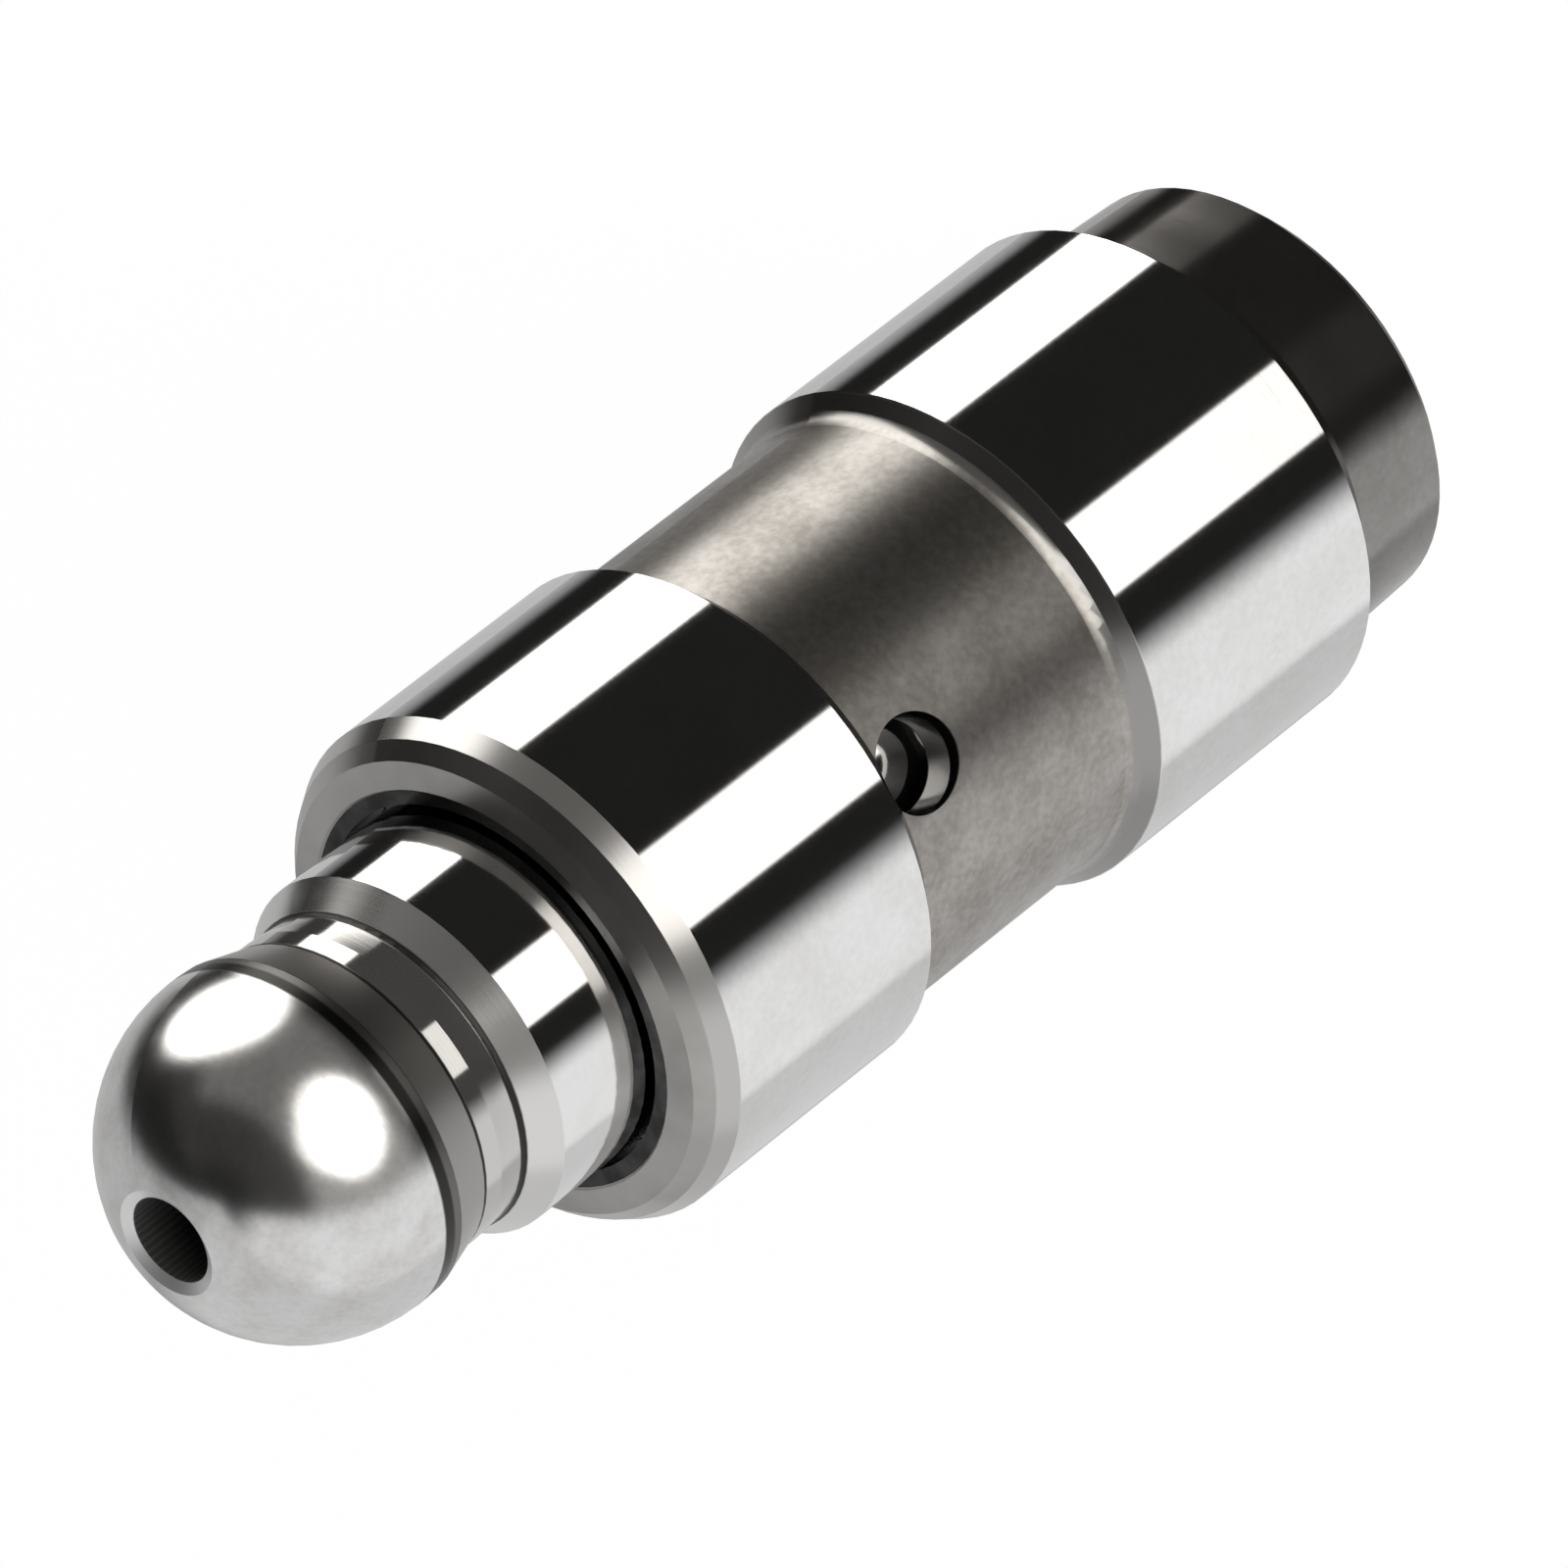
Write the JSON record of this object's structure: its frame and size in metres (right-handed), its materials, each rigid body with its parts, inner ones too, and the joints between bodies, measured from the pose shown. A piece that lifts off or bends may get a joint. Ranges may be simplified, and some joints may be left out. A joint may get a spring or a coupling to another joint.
{
  "type": "hydraulic valve lifter",
  "caption": "Hydraulic valve lifter: a ball-headed, oil-fed plunger slides in a ground cylindrical body with an oil groove and feed hole, sprung up against a retaining ring.",
  "frame": {"origin": "centre of the flat base face, at the lowest point", "axes": "+Z runs along the lifter's axis from the base to the ball head, -Y points to the oil feed hole, +X completes a right-handed frame"},
  "size_m": [0.012, 0.012, 0.035],
  "materials": {
    "body_steel": "ground bright on the lands, dull and slightly tarnished in the oil groove and on the chamfers",
    "plunger_steel": "polished stem, satin ball head, dull neck",
    "valve_steel": "fine ground",
    "ball_steel": "polished bearing ball",
    "cage_sheet": "pressed sheet, dull",
    "ring_steel": "blackened collar",
    "spring_wire": "dark drawn wire"
  },
  "bodies": {
    "housing": {"body": "body_steel", "retaining_ring": "ring_steel", "return_spring": "spring_wire"},
    "plunger": {"ball_plunger": "plunger_steel", "lower_plunger": "valve_steel", "check_cage": "cage_sheet", "check_spring": "spring_wire"},
    "valve": {"check_ball": "ball_steel"}
  },
  "joints": [
    {"name": "plunger_slide", "type": "slide", "parent": "housing", "child": "plunger", "axis": [0, 0, 1], "range_m": [-0.0028, 0], "stiffness_N_per_m": 3850, "deforming": ["return_spring"]},
    {"name": "check_ball_lift", "type": "slide", "parent": "plunger", "child": "valve", "axis": [0, 0, -1], "range_m": [0, 0.00025], "stiffness_N_per_m": 200, "deforming": ["check_spring"]}
  ]
}
